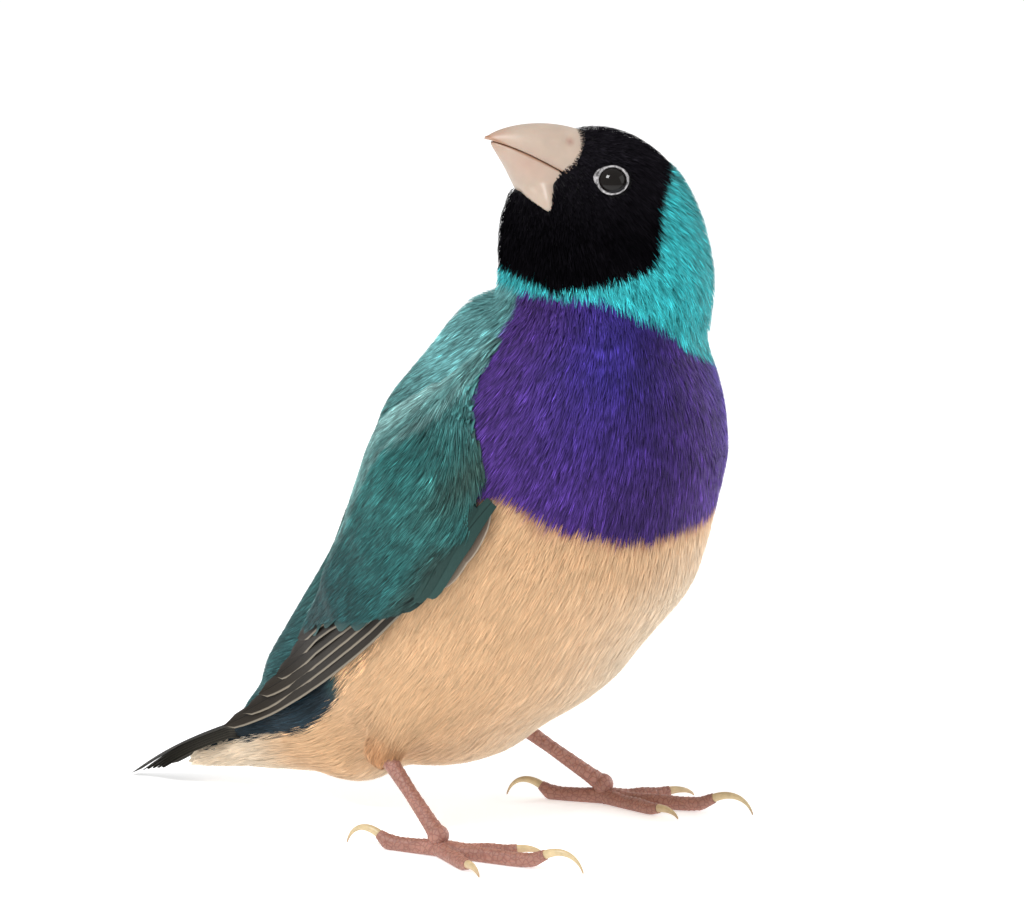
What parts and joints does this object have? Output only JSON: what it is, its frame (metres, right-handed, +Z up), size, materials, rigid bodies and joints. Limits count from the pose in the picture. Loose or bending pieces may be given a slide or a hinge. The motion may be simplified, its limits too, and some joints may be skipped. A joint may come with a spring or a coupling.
{
  "type": "gouldian finch",
  "caption": "Life-size still model of a gouldian finch standing with its head turned back, for a display case, shelf or diorama.",
  "frame": {"origin": "middle of the bird's own box, on the floor it stands on", "axes": "+Z up, the body faces -Y with its tail towards +Y, its right side towards -X"},
  "size_m": [0.0546, 0.0914, 0.0945],
  "materials": {
    "cream_feathers": "soft lying feathers",
    "turquoise_feathers": "soft lying feathers",
    "black_feathers": "velvety short feathers",
    "teal_feathers": "satin flight and cover feathers",
    "slate_feathers": "satin tail feathers",
    "ivory_bill": "smooth pale horn",
    "dark_eye": "wet gloss",
    "pink_scales": "fine scales",
    "pale_horn": "smooth horn"
  },
  "bodies": {
    "root": {"torso": "cream_feathers", "neck": "turquoise_feathers", "head": "black_feathers", "bill_upper": "ivory_bill", "bill_lower": "ivory_bill", "eye_left": "dark_eye", "eye_right": "dark_eye", "wing_left": "teal_feathers", "wing_right": "teal_feathers", "tail": "slate_feathers", "leg_left": "pink_scales", "foot_left": "pink_scales", "claw_left_back": "pale_horn", "claw_left_outer": "pale_horn", "claw_left_middle": "pale_horn", "claw_left_inner": "pale_horn", "leg_right": "pink_scales", "foot_right": "pink_scales", "claw_right_back": "pale_horn", "claw_right_outer": "pale_horn", "claw_right_middle": "pale_horn", "claw_right_inner": "pale_horn"}
  },
  "joints": []
}
